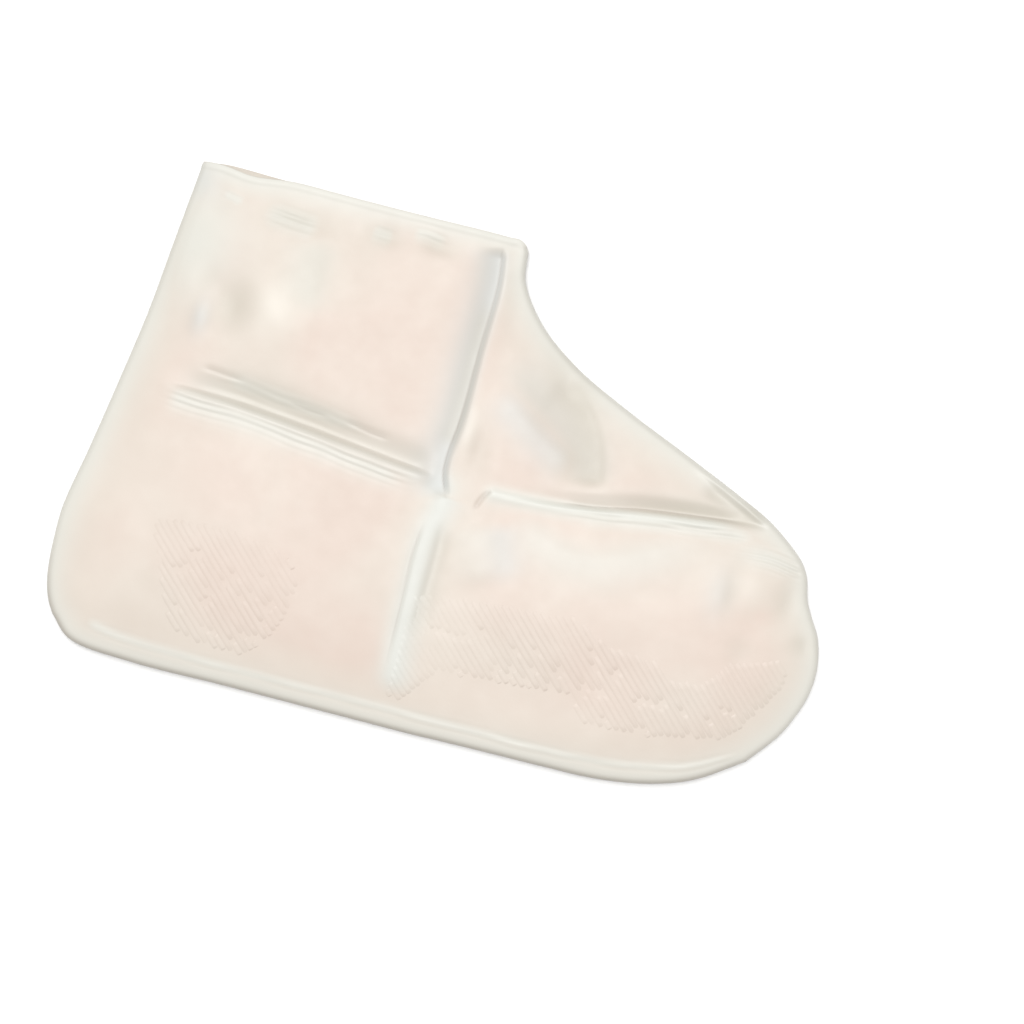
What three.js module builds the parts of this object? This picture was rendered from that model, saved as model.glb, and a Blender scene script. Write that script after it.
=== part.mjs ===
// Pull-on shoe cover of dipped latex rubber, in one piece, lying flat on its side.
// X runs from heel to toe, Y from the sole to the mouth, Z up through the flattened thickness. Millimetres.

import * as THREE from 'three';
import { mergeVertices } from 'three/addons/utils/BufferGeometryUtils.js';

// Driving dimensions
const footLength = 280;
const coverHeight = 183;
const wallThickness = 1.2;
const edgeThickness = 5.4;
const panelThickness = 10.4;
const crownReach = 13;
const mouthSink = 1.6;
const mouthSinkReach = 22;
const lipDrop = 2.6;
const lipDropReach = 30;
const beadThickness = 0.6;
const beadWidth = 2.6;
const foldDepth = 3;
const foldWidth = 10;
const swellHeight = 1.8;
const gripHeight = 0.35;

const latexColour = 0xf1e4d8;
const latexRoughness = 0.45;
const latexMetalness = 0;

// Each row is a line across the flat cover, from the sole edge through the middle to the top edge.
// Along is a share of footLength from the heel, up a share of coverHeight from the sole.
// Cuts are the shares of the way to the next row at which the mesh has a column.
const sections = [
  { name: 'heel edge', soleAlong: 0.023, soleUp: 0.054, midAlong: 0.032, midUp: 0.54, topAlong: 0.065, topUp: 0.993,
    cuts: [0, 0.12, 0.32, 0.62] },
  { name: 'heel turn', soleAlong: 0.052, soleUp: 0.014, midAlong: 0.066, midUp: 0.542, topAlong: 0.096, topUp: 1,
    cuts: [0, 0.33, 0.66] },
  { name: 'heel', soleAlong: 0.136, soleUp: 0, midAlong: 0.15, midUp: 0.54, topAlong: 0.166, topUp: 0.999,
    cuts: [0, 0.33, 0.66] },
  { name: 'shank', soleAlong: 0.257, soleUp: 0.001, midAlong: 0.264, midUp: 0.532, topAlong: 0.272, topUp: 0.997,
    cuts: [0, 0.33, 0.66] },
  { name: 'waist', soleAlong: 0.372, soleUp: 0.001, midAlong: 0.372, midUp: 0.522, topAlong: 0.372, topUp: 0.998,
    cuts: [0, 0.45, 0.8] },
  { name: 'before the fold', soleAlong: 0.445, soleUp: 0.001, midAlong: 0.44, midUp: 0.514, topAlong: 0.444, topUp: 1,
    cuts: [0, 0.4, 0.75] },
  { name: 'upright fold', soleAlong: 0.47, soleUp: 0.001, midAlong: 0.468, midUp: 0.51, topAlong: 0.473, topUp: 1,
    cuts: [0, 0.35, 0.7] },
  { name: 'after the fold', soleAlong: 0.494, soleUp: 0.001, midAlong: 0.492, midUp: 0.505, topAlong: 0.489, topUp: 1,
    cuts: [0, 0.5] },
  { name: 'front of the mouth', soleAlong: 0.512, soleUp: 0.001, midAlong: 0.513, midUp: 0.503, topAlong: 0.5,
    topUp: 0.987, cuts: [0, 0.5] },
  { name: 'shin', soleAlong: 0.536, soleUp: 0.002, midAlong: 0.54, midUp: 0.502, topAlong: 0.508, topUp: 0.925,
    cuts: [0, 0.5] },
  { name: 'ankle bend', soleAlong: 0.572, soleUp: 0.003, midAlong: 0.58, midUp: 0.512, topAlong: 0.542, topUp: 0.852,
    cuts: [0, 0.5] },
  { name: 'high instep', soleAlong: 0.625, soleUp: 0.004, midAlong: 0.635, midUp: 0.527, topAlong: 0.6, topUp: 0.786,
    cuts: [0, 0.33, 0.66] },
  { name: 'instep', soleAlong: 0.69, soleUp: 0.005, midAlong: 0.697, midUp: 0.537, topAlong: 0.682, topUp: 0.726,
    cuts: [0, 0.33, 0.66] },
  { name: 'low instep', soleAlong: 0.757, soleUp: 0.008, midAlong: 0.762, midUp: 0.541, topAlong: 0.766, topUp: 0.673,
    cuts: [0, 0.33, 0.66] },
  { name: 'toe box', soleAlong: 0.821, soleUp: 0.023, midAlong: 0.83, midUp: 0.533, topAlong: 0.846, topUp: 0.621,
    cuts: [0, 0.33, 0.66] },
  { name: 'toe shoulder', soleAlong: 0.879, soleUp: 0.053, midAlong: 0.893, midUp: 0.5, topAlong: 0.894, topUp: 0.586,
    cuts: [0, 0.38, 0.68, 0.88] },
  { name: 'toe edge', soleAlong: 0.94, soleUp: 0.115, midAlong: 0.965, midUp: 0.455, topAlong: 0.9265, topUp: 0.552,
    cuts: [0] },
];
const firstBendSection = 'upright fold';
const lastMouthSection = 'front of the mouth';

// Shares of the way from the sole edge to the middle, and from there to the top edge, that have a mesh row
const lowerLevels = [0, 0.011, 0.03, 0.062, 0.11, 0.2, 0.31, 0.42, 0.54, 0.66, 0.77, 0.86, 0.92, 0.965];
const upperLevels = [0, 0.03, 0.065, 0.115, 0.2, 0.31, 0.43, 0.55, 0.67, 0.78, 0.87, 0.93, 0.968, 0.987, 1];

// The rounded outlines of heel and toe: along at a height up
const heelOutline = [
  { up: 0.054, along: 0.023 },
  { up: 0.075, along: 0.0145 },
  { up: 0.102, along: 0.0075 },
  { up: 0.14, along: 0.0025 },
  { up: 0.2, along: 0 },
  { up: 0.27, along: 0.001 },
  { up: 0.385, along: 0.0145 },
  { up: 0.54, along: 0.031 },
  { up: 0.68, along: 0.0445 },
  { up: 0.82, along: 0.0535 },
  { up: 0.993, along: 0.065 },
];
const toeOutline = [
  { up: 0.115, along: 0.94 },
  { up: 0.175, along: 0.971 },
  { up: 0.215, along: 0.985 },
  { up: 0.27, along: 0.9975 },
  { up: 0.328, along: 1 },
  { up: 0.386, along: 0.991 },
  { up: 0.425, along: 0.976 },
  { up: 0.454, along: 0.966 },
  { up: 0.499, along: 0.957 },
  { up: 0.527, along: 0.945 },
  { up: 0.552, along: 0.9265 },
];

// Folds of the upper side: a smooth line from start through via to end. Rise is a share of foldDepth,
// left and right are shares of foldWidth, on the sides met when walking from start to end.
const folds = [
  { name: 'level fold valley', startAlong: 0.087, startUp: 0.557, viaAlong: 0.268, viaUp: 0.542, endAlong: 0.458,
    endUp: 0.512, rise: -0.75, left: 0.65, right: 0.25, fadeIn: 0.2, fadeOut: 0.06 },
  { name: 'level fold ridge', startAlong: 0.086, startUp: 0.542, viaAlong: 0.268, viaUp: 0.528, endAlong: 0.46,
    endUp: 0.497, rise: 0.3, left: 0.2, right: 0.4, fadeIn: 0.15, fadeOut: 0.06 },
  { name: 'upright fold valley', startAlong: 0.467, startUp: 0.53, viaAlong: 0.472, viaUp: 0.765, endAlong: 0.472,
    endUp: 0.98, rise: -0.9, left: 1.1, right: 0.22, fadeIn: 0.08, fadeOut: 0.08 },
  { name: 'upright fold ridge', startAlong: 0.477, startUp: 0.54, viaAlong: 0.483, viaUp: 0.765, endAlong: 0.485,
    endUp: 0.98, rise: 0.3, left: 0.2, right: 0.35, fadeIn: 0.08, fadeOut: 0.08 },
  { name: 'lower upright ridge', startAlong: 0.474, startUp: 0.045, viaAlong: 0.466, viaUp: 0.25, endAlong: 0.477,
    endUp: 0.47, rise: 0.4, left: 0.35, right: 0.35, fadeIn: 0.1, fadeOut: 0.1 },
  { name: 'step valley', startAlong: 0.571, startUp: 0.508, viaAlong: 0.727, viaUp: 0.546, endAlong: 0.894,
    endUp: 0.578, rise: -0.75, left: 0.6, right: 0.15, fadeIn: 0.35, fadeOut: 0.06 },
  { name: 'step lip', startAlong: 0.56, startUp: 0.498, viaAlong: 0.728, viaUp: 0.531, endAlong: 0.888,
    endUp: 0.561, rise: 0.3, left: 0.15, right: 0.45, fadeIn: 0.15, fadeOut: 0.1 },
  { name: 'instep valley', startAlong: 0.588, startUp: 0.772, viaAlong: 0.642, viaUp: 0.645, endAlong: 0.651,
    endUp: 0.53, rise: -0.6, left: 0.6, right: 1.4, fadeIn: 0.2, fadeOut: 0.2 },
  { name: 'forefoot brow', startAlong: 0.557, startUp: 0.477, viaAlong: 0.68, viaUp: 0.418, endAlong: 0.861,
    endUp: 0.541, rise: 0.2, left: 0.5, right: 0.7, fadeIn: 0.25, fadeOut: 0.35 },
  { name: 'sole edge groove', startAlong: 0.064, startUp: 0.056, viaAlong: 0.4, viaUp: 0.04, endAlong: 0.82,
    endUp: 0.062, rise: -0.16, left: 0.3, right: 0.25, fadeIn: 0.08, fadeOut: 0.1 },
];

// Puffed and dented places of the upper side. Rise is a share of swellHeight.
const swells = [
  { name: 'forefoot mound', along: 0.68, up: 0.36, reachAlong: 0.17, reachUp: 0.12, rise: 0.9 },
  { name: 'heel panel', along: 0.235, up: 0.28, reachAlong: 0.15, reachUp: 0.17, rise: 0.45 },
  { name: 'shaft panel', along: 0.27, up: 0.77, reachAlong: 0.15, reachUp: 0.15, rise: 0.45 },
  { name: 'shin panel', along: 0.54, up: 0.66, reachAlong: 0.05, reachUp: 0.11, rise: 0.4 },
  { name: 'forefoot dent', along: 0.568, up: 0.4, reachAlong: 0.025, reachUp: 0.08, rise: -0.55 },
  { name: 'toe box dent', along: 0.86, up: 0.435, reachAlong: 0.026, reachUp: 0.04, rise: -0.4 },
  { name: 'toe dent', along: 0.914, up: 0.395, reachAlong: 0.022, reachUp: 0.045, rise: -0.45 },
  { name: 'shaft dent', along: 0.146, up: 0.725, reachAlong: 0.045, reachUp: 0.08, rise: -0.5 },
  { name: 'mouth dent', along: 0.207, up: 0.914, reachAlong: 0.05, reachUp: 0.055, rise: -0.35 },
];

// Raised grip patches, on the side of the sole
const grips = [
  { name: 'heel grip', along: 0.212, up: 0.185, reachAlong: 0.105, reachUp: 0.12 },
  { name: 'forefoot grip', along: 0.71, up: 0.205, reachAlong: 0.225, reachUp: 0.11 },
];

// The near lip of the mouth lies lower round this place than the far lip behind it
const lipDropPlace = { along: 0.131, reachAlong: 0.042 };

const halfEdge = edgeThickness / 2;
const roundSteepness = 6;
const guideSamples = 14;

function smooth(value) {
  const held = THREE.MathUtils.clamp(value, 0, 1);
  return held * held * (3 - 2 * held);
}

function bell(value) {
  return Math.exp(-value * value);
}

function atShares(along, up) {
  return new THREE.Vector3(along * footLength, up * coverHeight, 0);
}

// Smooth curve through one edge of all the sections
function sectionGuide(edge) {
  const points = sections.map((row) => atShares(row[`${edge}Along`], row[`${edge}Up`]));
  return new THREE.CatmullRomCurve3(points, false, 'centripetal');
}

// Along of a heel or toe outline at any height
function outlineAt(rows, height) {
  const points = rows.map((row) => atShares(row.along, row.up));
  let upper = points.findIndex((point) => point.y >= height);
  upper = THREE.MathUtils.clamp(upper < 0 ? points.length - 1 : upper, 1, points.length - 1);
  const before = points[Math.max(upper - 2, 0)];
  const low = points[upper - 1];
  const high = points[upper];
  const after = points[Math.min(upper + 1, points.length - 1)];
  const rise = high.y - low.y;
  const share = (height - low.y) / rise;
  const lowSlope = (high.x - before.x) / (high.y - before.y);
  const highSlope = (after.x - low.x) / (after.y - low.y);
  const cubic = share * share * (3 - 2 * share);
  const enter = share * (1 - share) * (1 - share) * lowSlope * rise;
  const leave = share * share * (share - 1) * highSlope * rise;
  return THREE.MathUtils.lerp(low.x, high.x, cubic) + enter + leave;
}

// The flat plan: a grid of points inside the outline, in columns from heel to toe and rows from sole to top
function flatPlan() {
  const guides = { sole: sectionGuide('sole'), mid: sectionGuide('mid'), top: sectionGuide('top') };
  const spans = sections.length - 1;
  const stations = sections.flatMap((row, index) => row.cuts.map((cut) => (index + cut) / spans));
  const bend = sections.findIndex((row) => row.name === firstBendSection) / spans;
  const mouthEnd = sections.findIndex((row) => row.name === lastMouthSection) / spans;
  const columns = stations.map((station) => {
    const sole = guides.sole.getPoint(station);
    const mid = guides.mid.getPoint(station);
    const top = guides.top.getPoint(station);
    const lower = lowerLevels.map((level) => sole.clone().lerp(mid, level));
    const upper = upperLevels.map((level) => mid.clone().lerp(top, level));
    return [...lower, ...upper];
  });
  const heelColumn = columns[0].map((point) => point.clone());
  const toeColumn = columns[columns.length - 1].map((point) => point.clone());
  columns.forEach((column, index) => {
    const heelPull = Math.max(0, 1 - stations[index] / bend) ** 2;
    const toePull = Math.max(0, (stations[index] - bend) / (1 - bend)) ** 2;
    column.forEach((point, row) => {
      const heelShift = outlineAt(heelOutline, heelColumn[row].y) - heelColumn[row].x;
      const toeShift = outlineAt(toeOutline, toeColumn[row].y) - toeColumn[row].x;
      point.x += heelShift * heelPull + toeShift * toePull;
    });
  });
  const mouthColumn = stations.findIndex((station) => station >= mouthEnd - 1e-9);
  return { columns, mouthColumn };
}

// Shortest distance to a line of points, with the share of the way along it and the side
function nearestOn(line, x, y) {
  const best = { distance: Infinity, share: 0, side: 1 };
  for (let index = 1; index < line.length; index += 1) {
    const start = line[index - 1];
    const run = line[index].clone().sub(start);
    const offsetX = x - start.x;
    const offsetY = y - start.y;
    const share = THREE.MathUtils.clamp((offsetX * run.x + offsetY * run.y) / run.lengthSq(), 0, 1);
    const distance = Math.hypot(offsetX - share * run.x, offsetY - share * run.y);
    if (distance < best.distance) {
      best.distance = distance;
      best.share = (index - 1 + share) / (line.length - 1);
      best.side = Math.sign(run.x * offsetY - run.y * offsetX) || 1;
    }
  }
  return best;
}

const foldLines = folds.map((fold) => {
  const start = atShares(fold.startAlong, fold.startUp);
  const via = atShares(fold.viaAlong, fold.viaUp);
  const end = atShares(fold.endAlong, fold.endUp);
  return new THREE.CatmullRomCurve3([start, via, end]).getPoints(guideSamples);
});

function foldRise(x, y) {
  return folds.reduce((sum, fold, index) => {
    const near = nearestOn(foldLines[index], x, y);
    const width = foldWidth * (near.side > 0 ? fold.left : fold.right);
    const ends = smooth(near.share / fold.fadeIn) * smooth((1 - near.share) / fold.fadeOut);
    return sum + fold.rise * foldDepth * bell(near.distance / width) * ends;
  }, 0);
}

function swellRise(x, y) {
  return swells.reduce((sum, swell) => {
    const across = (x / footLength - swell.along) / swell.reachAlong;
    const upward = (y / coverHeight - swell.up) / swell.reachUp;
    return sum + swell.rise * swellHeight * bell(Math.hypot(across, upward));
  }, 0);
}

function gripRise(x, y) {
  return grips.reduce((sum, grip) => {
    const across = (x / footLength - grip.along) / grip.reachAlong;
    const upward = (y / coverHeight - grip.up) / grip.reachUp;
    return sum + gripHeight / (1 + Math.hypot(across, upward) ** roundSteepness);
  }, 0);
}

// Height of the upper side over the floor, where inset is the distance in from the closed edge
function upperHeight(x, y, inset) {
  const turn = Math.max(0, 1 - inset / halfEdge);
  const roundEdge = halfEdge + halfEdge * Math.sqrt(1 - turn * turn);
  const settled = 1 - Math.exp(-inset / crownReach);
  const sink = mouthSink * bell((coverHeight - y) / mouthSinkReach);
  const crown = (panelThickness - edgeThickness - sink) * settled;
  const relief = (foldRise(x, y) + swellRise(x, y) + gripRise(x, y)) * smooth(inset / (2 * edgeThickness));
  return roundEdge + crown + relief;
}

function lowerHeight(inset) {
  const turn = Math.max(0, 1 - inset / halfEdge);
  return halfEdge - halfEdge * Math.sqrt(1 - turn * turn);
}

// Outer skin: the upper and the lower side, joined at the closed edge and open at the mouth
function outerSkin() {
  const { columns, mouthColumn } = flatPlan();
  const lastColumn = columns.length - 1;
  const lastRow = columns[0].length - 1;
  const closedEdge = [
    ...columns[0].slice().reverse(),
    ...columns.slice(1).map((column) => column[0]),
    ...columns[lastColumn].slice(1),
    ...columns.slice(mouthColumn, lastColumn).reverse().map((column) => column[lastRow]),
  ];
  const onEdge = (column, row) => column === 0 || column === lastColumn || row === 0
    || (row === lastRow && column >= mouthColumn);
  const points = { upper: [], lower: [] };
  columns.forEach((column, columnIndex) => {
    column.forEach((point, row) => {
      const inset = onEdge(columnIndex, row) ? 0 : nearestOn(closedEdge, point.x, point.y).distance;
      const across = (point.x / footLength - lipDropPlace.along) / lipDropPlace.reachAlong;
      const drop = lipDrop * bell(across) * smooth(inset / edgeThickness)
        * smooth(1 - (coverHeight - point.y) / lipDropReach);
      points.upper.push(point.x, point.y - drop, upperHeight(point.x, point.y, inset));
      points.lower.push(point.x, point.y, lowerHeight(inset));
    });
  });
  const rowCount = lastRow + 1;
  const faces = [];
  const lowerStart = columns.length * rowCount;
  for (let column = 0; column < lastColumn; column += 1) {
    for (let row = 0; row < lastRow; row += 1) {
      const corner = column * rowCount + row;
      const beside = corner + rowCount;
      faces.push(corner, beside, beside + 1, corner, beside + 1, corner + 1);
      faces.push(lowerStart + corner, lowerStart + beside + 1, lowerStart + beside);
      faces.push(lowerStart + corner, lowerStart + corner + 1, lowerStart + beside + 1);
    }
  }
  const skin = new THREE.BufferGeometry();
  const positions = [...points.upper, ...points.lower];
  skin.setAttribute('position', new THREE.Float32BufferAttribute(positions, 3));
  skin.setIndex(faces);
  const merged = mergeVertices(skin, 1e-3);
  merged.computeVertexNormals();
  return merged;
}

// Edges that only one face uses, each turned as that face runs through it
function openEdges(faces) {
  const used = new Set();
  for (let face = 0; face < faces.length; face += 3) {
    for (let side = 0; side < 3; side += 1) {
      used.add(`${faces[face + side]} ${faces[face + (side + 1) % 3]}`);
    }
  }
  const pairs = [...used].map((pair) => pair.split(' ').map(Number));
  return pairs.filter(([start, end]) => !used.has(`${end} ${start}`));
}

// Wall of even thickness behind the skin, with a bead round the mouth
function thicken(skin) {
  const outer = skin.getAttribute('position');
  const normal = skin.getAttribute('normal');
  const faces = Array.from(skin.index.array);
  const rim = openEdges(faces);
  const rimPoints = new Set(rim.flat());
  const rimHeights = [...rimPoints].map((index) => new THREE.Vector3().fromBufferAttribute(outer, index));
  const outside = [];
  const inside = [];
  for (let index = 0; index < outer.count; index += 1) {
    const point = new THREE.Vector3().fromBufferAttribute(outer, index);
    const out = new THREE.Vector3().fromBufferAttribute(normal, index);
    const fromRim = Math.min(...rimHeights.map((rimPoint) => rimPoint.distanceTo(point)));
    const bead = beadThickness * Math.sqrt(Math.max(0, 1 - (2 * fromRim / beadWidth - 1) ** 2));
    const raised = out.z > 0 ? bead : 0;
    const outerPoint = point.clone().addScaledVector(out, raised);
    const innerPoint = point.clone().addScaledVector(out, raised - bead - wallThickness);
    outside.push(outerPoint.x, outerPoint.y, outerPoint.z);
    inside.push(innerPoint.x, innerPoint.y, innerPoint.z);
  }
  const count = outer.count;
  const innerFaces = [];
  for (let face = 0; face < faces.length; face += 3) {
    innerFaces.push(faces[face] + count, faces[face + 2] + count, faces[face + 1] + count);
  }
  const rimFaces = rim.flatMap(([start, end]) => [start, start + count, end + count, start, end + count, end]);
  const shell = new THREE.BufferGeometry();
  shell.setAttribute('position', new THREE.Float32BufferAttribute([...outside, ...inside], 3));
  shell.setIndex([...faces, ...innerFaces, ...rimFaces]);
  return shell;
}

const latex = new THREE.MeshStandardMaterial({
  name: 'latex',
  color: latexColour,
  roughness: latexRoughness,
  metalness: latexMetalness,
});

const shellGeometry = thicken(outerSkin());
shellGeometry.computeVertexNormals();
shellGeometry.computeBoundingBox();

const coverShell = new THREE.Mesh(shellGeometry, latex);
coverShell.name = 'cover_shell';

// The origin lies on the floor under the middle of the flat cover
const middle = shellGeometry.boundingBox.getCenter(new THREE.Vector3());
coverShell.position.set(-middle.x, -middle.y, -shellGeometry.boundingBox.min.z);

const group = new THREE.Group();
group.name = 'shoe_cover';
group.add(coverShell);

export default group;
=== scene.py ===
import math
import random

import bmesh
import bpy
import numpy as np
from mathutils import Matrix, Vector, kdtree, noise


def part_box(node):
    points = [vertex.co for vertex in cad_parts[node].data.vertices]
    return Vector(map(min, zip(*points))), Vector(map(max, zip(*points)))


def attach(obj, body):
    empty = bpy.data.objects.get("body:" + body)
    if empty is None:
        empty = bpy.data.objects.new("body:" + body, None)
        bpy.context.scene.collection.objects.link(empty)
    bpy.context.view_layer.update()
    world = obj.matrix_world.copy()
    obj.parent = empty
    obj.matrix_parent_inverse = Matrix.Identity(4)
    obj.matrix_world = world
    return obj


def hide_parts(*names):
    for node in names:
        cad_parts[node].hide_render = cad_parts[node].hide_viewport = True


# Pull-on latex shoe cover, one dipped piece, lying flat on its side and seen from straight above.

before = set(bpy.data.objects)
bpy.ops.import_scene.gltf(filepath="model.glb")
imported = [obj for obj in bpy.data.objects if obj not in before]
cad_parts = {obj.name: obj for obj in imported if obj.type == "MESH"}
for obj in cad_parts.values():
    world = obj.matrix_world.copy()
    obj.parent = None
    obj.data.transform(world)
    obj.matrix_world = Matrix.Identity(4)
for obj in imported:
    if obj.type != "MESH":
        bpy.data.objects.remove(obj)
print("frame loaded")

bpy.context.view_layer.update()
mm = 0.001

shellLow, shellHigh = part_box("cover_shell")
coverLength = shellHigh.x - shellLow.x
coverHeight = shellHigh.y - shellLow.y

# The whole cover: sizes in metres
cover = {
    "wall": 1.2 * mm,
    "edgeThickness": 5.4 * mm,
    "edgeSquareness": 3.4,
    "panelThickness": 10.4 * mm,
    "crownReach": 24 * mm,
    "mouthSink": 1.6 * mm,
    "mouthSinkReach": 22 * mm,
    "lipDrop": 2.1 * mm,
    "lipDropReach": 30 * mm,
    "lipDropAlong": 0.131,
    "lipDropWidth": 0.038,
    "beadThickness": 0.22 * mm,
    "beadWidth": 3.0 * mm,
    "foldDepth": 3.0 * mm,
    "foldWidth": 10.0 * mm,
    "swellHeight": 1.8 * mm,
    "reliefInset": 10.8 * mm,
    "swellInset": 6 * mm,
    "creaseWidth": 0.36 * mm,
    "softWidth": 1.2,
    "softExtra": 1 * mm,
    # Tints: rippleTint and edgeTint lay on the greenish grey, partly the latex's own tone and partly painted
    # light; the sole shade is painted shade along the outline; the cloud and blush entries give the latex's
    # own pink
    "rippleTint": 0.7,
    "rippleTintWidth": 1.3,
    "rippleSway": 0.4,
    "innerFoldWidth": 2.5 * mm,
    "rippleDrift": 15 * mm,
    "edgeTint": 7 * mm,
    "edgeTintStrength": 0.8,
    "soleShade": 0.80,
    "soleShadeLeast": 0.22,
    "soleShadeWidth": 1.9 * mm,
    "soleShadeReach": 45 * mm,
    "cloudSize": 38 * mm,
    "cloudLevel": (0.5, 1.3),
    "blushInset": 7 * mm,
    "blushReach": 20 * mm,
    "blushStrength": 1.3,
    "blushLoss": 0.8,
    # The unseen sides: greenish grey underneath, and paler cream inside the hollow as painted light
    "plainTint": 0.8,
    "mergeGap": 0.01 * mm,
    "bendSection": 6,
    "mouthSection": 8,
    "innerRowStep": 3,
    "unevenness": ((26 * mm, 0.20 * mm, 8.1), (9 * mm, 0.05 * mm, 2.3)),
}

# How far apart the columns and rows of the skin stand: finer at the edges and along the folds.
# Columns as (share along, spacing), rows as (level, spacing), where level is 0 at the sole, 1 in the middle
# and 2 at the top.
columnGrade = [
    (0.032, 0.3 * mm), (0.05, 0.7 * mm), (0.09, 1.25 * mm), (0.44, 1.2 * mm), (0.455, 0.5 * mm),
    (0.49, 0.5 * mm), (0.54, 0.7 * mm), (0.57, 1.15 * mm), (0.9, 1.25 * mm), (0.95, 0.6 * mm),
    (0.965, 0.3 * mm),
]
rowGrade = [
    (0, 0.25 * mm), (0.05, 0.7 * mm), (0.1, 1.25 * mm), (0.84, 1.25 * mm), (0.89, 0.55 * mm),
    (1.1, 0.55 * mm), (1.2, 1.1 * mm), (1.8, 1.1 * mm), (1.88, 0.7 * mm), (1.97, 0.7 * mm), (2, 0.3 * mm),
]
rowReach = 92 * mm

# Lines across the flat cover, sole edge, middle and top edge, as shares along and up
sections = [
    ((0.023, 0.054), (0.032, 0.540), (0.065, 0.993)),
    ((0.052, 0.014), (0.066, 0.542), (0.096, 1.000)),
    ((0.136, 0.000), (0.150, 0.540), (0.166, 0.999)),
    ((0.257, 0.001), (0.264, 0.532), (0.272, 0.997)),
    ((0.372, 0.001), (0.372, 0.522), (0.372, 0.998)),
    ((0.445, 0.001), (0.440, 0.514), (0.444, 1.000)),
    ((0.470, 0.001), (0.468, 0.510), (0.473, 1.000)),
    ((0.494, 0.001), (0.492, 0.505), (0.489, 1.000)),
    ((0.512, 0.001), (0.513, 0.503), (0.500, 0.987)),
    ((0.536, 0.002), (0.540, 0.502), (0.508, 0.925)),
    ((0.572, 0.003), (0.580, 0.512), (0.542, 0.852)),
    ((0.625, 0.004), (0.635, 0.527), (0.600, 0.786)),
    ((0.690, 0.005), (0.697, 0.537), (0.682, 0.726)),
    ((0.757, 0.008), (0.762, 0.541), (0.766, 0.673)),
    ((0.821, 0.023), (0.830, 0.533), (0.846, 0.621)),
    ((0.879, 0.053), (0.893, 0.500), (0.894, 0.586)),
    ((0.940, 0.115), (0.965, 0.455), (0.9265, 0.552)),
]

# Rounded outlines of heel and toe, as (up, along) shares
heelOutline = [
    (0.054, 0.023), (0.075, 0.0145), (0.102, 0.0075), (0.14, 0.0025), (0.2, 0), (0.27, 0.001),
    (0.385, 0.0145), (0.54, 0.031), (0.68, 0.0445), (0.82, 0.0535), (0.993, 0.065),
]
toeOutline = [
    (0.115, 0.94), (0.175, 0.971), (0.215, 0.985), (0.27, 0.9975), (0.328, 1), (0.386, 0.991),
    (0.425, 0.976), (0.454, 0.966), (0.499, 0.957), (0.527, 0.945), (0.552, 0.9265),
]
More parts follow.
